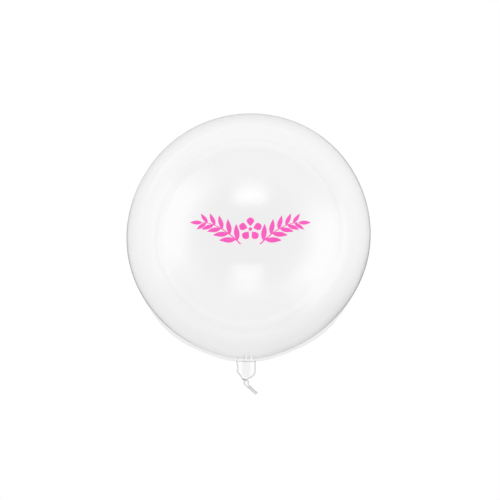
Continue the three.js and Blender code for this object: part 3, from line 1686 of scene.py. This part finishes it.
        def middle(share: float, across: float) -> Vector:
            """Gives a flat place on the round middle."""
            return self.heading(2 * math.pi * share)[0] * self.middle_radius * (across + 1) / 2

        self.patch("blossom_middle", self.middle_faces, middle)

    def build(self, wardrobe: Wardrobe) -> bpy.types.Object:
        """Cuts the whole ornament, gives it its thickness and dresses it.

        Args:
            wardrobe: The finishes.

        Returns:
            The ornament.
        """
        self.sprig(Side.LEFT)
        self.sprig(Side.RIGHT)
        self.blossom()
        ornament = Bench.joined("vinyl_ornament", self.parts)
        Bench.edit(ornament)
        bpy.ops.mesh.select_all(action="SELECT")
        bpy.ops.mesh.normals_make_consistent(inside=False)
        Bench.wall(ornament, self.thickness)
        return dressed(Bench.done(ornament, smooth=40), wardrobe.vinyl, RecordSlot.VINYL)


# The studio


@dataclass(frozen=True)
class Wash:
    """Light that changes evenly from place to place.

    Attributes:
        base: The light in the middle.
        away: What it gains for each unit of the direction away from the neck.
        sideways: What it gains for each unit sideways, squared.
    """

    base: float
    away: float = 0.0
    sideways: float = 0.0


@dataclass(frozen=True)
class Layer:
    """A part of the room above or below the walls.

    Attributes:
        wash: Its light.
        start: The height of a direction where it starts to take over from what comes before it.
        full: The height where it has.
    """

    wash: Wash
    start: float
    full: float


@dataclass(frozen=True)
class Edge:
    """One soft edge of a light bank.

    Attributes:
        way: The way that a direction is measured along.
        dark: How far along it the bank ends.
        bright: How far along it the bank is at its full strength.
    """

    way: Way
    dark: float
    bright: float


@dataclass(frozen=True)
class Bank:
    """A bank of soft light, or a dark patch, as the balloon's gloss shows it.

    Attributes:
        name: What it is.
        light: What it adds to the room, beside the white floor's brightness.
        edges: Its soft edges.
    """

    name: str
    light: float
    edges: tuple[Edge, ...]


@dataclass
class Studio:
    """A white floor in a white room, with soft light banks that only the gloss shows.

    The floor and the room are pure white seen directly, through the film, and by what isn't glossy. In gloss
    they are as dim as a real studio's floor and walls.

    Attributes:
        form: The balloon's form.
        floor_size: The floor's width.
        floor_drop: How far it lies below the balloon.
        shade: How much less white it is where the ball rests.
        shade_reach: How far that shade goes, as a share of the ball's radius.
        walls: The walls' light in gloss.
        layers: The floor further out, the floor below the ball, and what is overhead, in gloss.
        least: The least light in gloss from any direction.
        matt_weight: How many glosses one matt surface outweighs on the light's way.
        banks: The light banks and dark patches.
    """

    form: BalloonForm
    floor_size: float = 24.0
    floor_drop: float = 0.0004
    shade: float = 0.022
    shade_reach: float = 0.8
    walls: Wash = Wash(0.38, away=0.22)
    layers: tuple[Layer, ...] = (
        Layer(Wash(0.57, away=0.28, sideways=0.18), -0.06, -0.26),
        Layer(Wash(0.70, away=0.10, sideways=0.06), -0.30, -0.48),
        Layer(Wash(0.24), 0.35, 0.85),
    )
    least: float = 0.02
    matt_weight: float = 8.0
    banks: tuple[Bank, ...] = (
        Bank(
            "left bank",
            0.52,
            (
                Edge(Way.RIGHT, -0.50, -0.72),
                Edge(Way.AWAY_FROM_NECK, 0.72, 0.50),
                Edge(Way.AWAY_FROM_NECK, -0.74, -0.30),
                Edge(Way.UP, 0.68, 0.26),
                Edge(Way.UP, -0.24, -0.07),
            ),
        ),
        Bank(
            "right bank",
            0.67,
            (
                Edge(Way.RIGHT, 0.30, 0.60),
                Edge(Way.AWAY_FROM_NECK, 0.52, 0.08),
                Edge(Way.AWAY_FROM_NECK, -0.92, -0.64),
                Edge(Way.UP, 0.70, 0.28),
                Edge(Way.UP, -0.22, -0.09),
            ),
        ),
        Bank(
            "high bank",
            1.08,
            (
                Edge(Way.AWAY_FROM_NECK, 0.42, 0.54),
                Edge(Way.AWAY_FROM_NECK, 0.78, 0.58),
                Edge(Way.RIGHT, -0.37, -0.10),
                Edge(Way.RIGHT, 0.40, 0.14),
                Edge(Way.UP, 0.3, 0.5),
            ),
        ),
        Bank(
            "low bank",
            0.95,
            (
                Edge(Way.AWAY_FROM_NECK, -0.52, -0.68),
                Edge(Way.AWAY_FROM_NECK, -0.92, -0.76),
                Edge(Way.RIGHT, -0.40, 0.0),
                Edge(Way.RIGHT, 0.36, 0.0),
                Edge(Way.UP, 0.2, 0.5),
            ),
        ),
        Bank(
            "far arc",
            0.11,
            (
                Edge(Way.UP, -0.170, -0.145),
                Edge(Way.UP, -0.105, -0.130),
                Edge(Way.AWAY_FROM_NECK, 0.72, 0.90),
            ),
        ),
        Bank(
            "near arc",
            0.13,
            (
                Edge(Way.UP, -0.350, -0.322),
                Edge(Way.UP, -0.275, -0.303),
                Edge(Way.UPPER_LEFT, 0.55, 0.75),
            ),
        ),
        Bank("dark corner", -0.15, (Edge(Way.LOW_RIGHT, 0.90, 0.99),)),
        Bank("dim corner", -0.13, (Edge(Way.NEAR_RIGHT, 0.86, 0.98),)),
        Bank("dark right side", -0.385, (Edge(Way.UP, -0.540, -0.650), Edge(Way.RIGHT_EDGE, 0.42, 0.74))),
        Bank("dark left side", -0.41, (Edge(Way.UP, -0.540, -0.650), Edge(Way.LEFT_EDGE, 0.46, 0.74))),
        Bank("dark far side", -0.14, (Edge(Way.UP, -0.560, -0.660), Edge(Way.AWAY_FROM_NECK, 0.30, 0.62))),
        Bank("light near side", 0.14, (Edge(Way.UP, -0.500, -0.620), Edge(Way.AWAY_FROM_NECK, -0.50, -0.66))),
    )

    def along(self, sheet: NodeSheet, toward: bpy.types.NodeSocket, way: Way) -> bpy.types.NodeSocket:
        """Gives how far a direction points along a way."""
        node = sheet.node("ShaderNodeVectorMath", operation="DOT_PRODUCT", in_0=toward, in_1=way.value)
        return node.outputs["Value"]

    def washed(self, sheet: NodeSheet, toward: bpy.types.NodeSocket, wash: Wash) -> bpy.types.NodeSocket:
        """Gives a wash's light from a direction.

        Args:
            sheet: The node tree to add to.
            toward: The direction.
            wash: The wash.

        Returns:
            The strength.
        """
        across = self.along(sheet, toward, Way.RIGHT)
        sideways = sheet.product(sheet.product(across, across), wash.sideways)
        away = sheet.product(self.along(sheet, toward, Way.AWAY_FROM_NECK), wash.away)
        return sheet.sum(sheet.sum(away, wash.base), sideways)

    def in_gloss(self, sheet: NodeSheet, toward: bpy.types.NodeSocket) -> bpy.types.NodeSocket:
        """Gives the light that gloss shows from a direction.

        Args:
            sheet: The node tree to add to.
            toward: The direction, as a unit vector from the ball.

        Returns:
            The strength.
        """
        up = self.along(sheet, toward, Way.UP)
        light = self.washed(sheet, toward, self.walls)
        for layer in self.layers:
            share = sheet.ramp(up, layer.start, layer.full)
            light = sheet.blend(share, light, self.washed(sheet, toward, layer.wash))
        for bank in self.banks:
            added: object = bank.light
            for edge in bank.edges:
                inside = sheet.ramp(self.along(sheet, toward, edge.way), edge.dark, edge.bright)
                added = sheet.product(added, inside)
            light = sheet.sum(light, added)
        return sheet.worked("MAXIMUM", light, self.least)

    def seen(self, sheet: NodeSheet, direct: object, glossy: object) -> bpy.types.NodeSocket:
        """Gives the direct brightness, or the one in gloss for light that only glosses have sent on.

        Args:
            sheet: The node tree to add to.
            direct: The brightness seen directly.
            glossy: The brightness in gloss.

        Returns:
            The strength.
        """
        path = sheet.node("ShaderNodeLightPath").outputs
        depth = sheet.sum(path["Glossy Depth"], sheet.product(path["Diffuse Depth"], -self.matt_weight))
        return sheet.blend(sheet.worked("GREATER_THAN", depth, 0.5), direct, glossy)

    def room(self) -> None:
        """Makes the room."""
        world = bpy.data.worlds.new("studio")
        world.use_nodes = True
        bpy.context.scene.world = world
        sheet = NodeSheet(world.node_tree)
        toward = sheet.node("ShaderNodeTexCoord").outputs["Generated"]
        strength = self.seen(sheet, 1.0, self.in_gloss(sheet, toward))
        back = sheet.node("ShaderNodeBackground", in_Color=(1, 1, 1, 1), in_Strength=strength)
        sheet.node("ShaderNodeOutputWorld", in_Surface=back.outputs[0])

    def floor(self) -> None:
        """Makes the white floor, with a faint shade where the ball rests."""
        Bench.clear()
        bpy.ops.mesh.primitive_plane_add(size=self.floor_size, location=(0, 0, -self.floor_drop))
        floor = Bench.named("studio_floor")
        material, sheet = NodeSheet.of_material("white floor")
        place = sheet.place()
        centre = (0, 0, self.form.centre_height)
        from_ball = sheet.node("ShaderNodeVectorMath", operation="SUBTRACT", in_0=place, in_1=centre)
        toward = sheet.node("ShaderNodeVectorMath", operation="NORMALIZE", in_0=from_ball.outputs[0])
        away = sheet.node("ShaderNodeVectorMath", operation="LENGTH", in_0=place).outputs["Value"]
        direct = sheet.ramp(away, 0.0, self.shade_reach * self.form.radius, 1 - self.shade, 1.0)
        strength = self.seen(sheet, direct, self.in_gloss(sheet, toward.outputs[0]))
        glow = sheet.node("ShaderNodeEmission", in_Color=(1, 1, 1, 1), in_Strength=strength)
        sheet.node("ShaderNodeOutputMaterial", in_Surface=glow.outputs[0])
        floor.data.materials.append(material)

    def build(self) -> None:
        """Makes the room and the floor."""
        scene = bpy.context.scene
        scene.view_settings.view_transform = "Standard"
        scene.view_settings.look = "None"
        self.room()
        self.floor()


@dataclass
class Viewpoint:
    """The camera, straight above the balloon's front.

    Attributes:
        form: The balloon's form.
        distance: From the ball's centre.
        sensor: The width of the camera's sensor, in millimetres.
        pixel: The size of one pixel of the photograph at the ball's centre.
        picture: The photograph's width in pixels.
        ball_pixel: Where the ball's centre is in the photograph.
    """

    form: BalloonForm
    distance: float = 2.8
    sensor: float = 36.0
    pixel: float = 0.0016463
    picture: float = 500.0
    ball_pixel: tuple[float, float] = (248.6, 235.4)

    def build(self) -> None:
        """Makes the camera."""
        data = bpy.data.cameras.new("camera")
        data.sensor_width = self.sensor
        data.lens = self.sensor * self.distance / (self.pixel * self.picture)
        camera = bpy.data.objects.new("camera", data)
        middle = self.picture / 2
        x = (middle - self.ball_pixel[0]) * self.pixel
        y = (self.ball_pixel[1] - middle) * self.pixel
        camera.location = (x, y, self.form.centre_height + self.distance)
        bpy.context.collection.objects.link(camera)
        bpy.context.scene.camera = camera


def main() -> None:
    """Builds the balloon and the studio round it."""
    logging.basicConfig(level=logging.INFO, format="%(name)s: %(message)s")
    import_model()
    form = BalloonForm()
    Viewpoint(form).build()
    wardrobe = Wardrobe()
    FilmBall(form).build(wardrobe)
    WeldFin(form).build(wardrobe)
    films = NeckFilms(form)
    films.build(wardrobe)
    Valve(form, films).build(wardrobe)
    NeckWelds(form, films).build(wardrobe)
    NeckGathers(form).build(wardrobe)
    GatheredEnd(form).build(wardrobe)
    VinylSprigs(form).build(wardrobe)
    Studio(form).build()
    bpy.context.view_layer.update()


if __name__ == "__main__":
    main()
